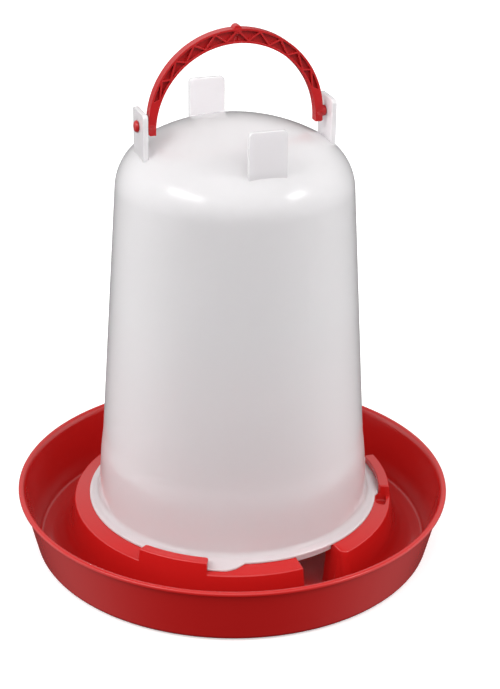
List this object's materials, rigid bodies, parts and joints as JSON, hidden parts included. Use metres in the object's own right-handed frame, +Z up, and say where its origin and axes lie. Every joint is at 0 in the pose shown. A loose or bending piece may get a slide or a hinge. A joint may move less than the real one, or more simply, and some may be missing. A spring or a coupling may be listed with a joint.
{
  "type": "poultry waterer fount",
  "caption": "Bayonet poultry drinker: round trough with collar, translucent bell reservoir on top, and a folding arch carry handle.",
  "frame": {"origin": "centre of the drinking tray's underside, on the ground", "axes": "+Z up along the axis of the tray and reservoir; +X along the carry handle's pivot axis; -Y towards the front ear, with the water way near -Y"},
  "size_m": [0.345, 0.345, 0.4208],
  "materials": {
    "red_tray": "glossy injection-moulded polypropylene, signal red",
    "natural_polyethylene": "translucent natural polyethylene, satin-gloss, uncoloured",
    "red_handle": "injection-moulded polypropylene, slightly deeper red, semi-gloss"
  },
  "bodies": {
    "tray": {"drinking_tray": "red_tray"},
    "reservoir": {"water_reservoir": "natural_polyethylene"},
    "handle": {"carry_handle": "red_handle"}
  },
  "joints": [
    {"name": "bayonet_turn", "type": "hinge", "parent": "tray", "child": "reservoir", "pos_m": [0, 0, 0.0388], "axis": [0, 0, 1], "range_deg": [0, 25]},
    {"name": "handle_swing", "type": "hinge", "parent": "reservoir", "child": "handle", "pos_m": [0, 0, 0.3511], "axis": [1, 0, 0], "range_deg": [-98, 98]}
  ]
}
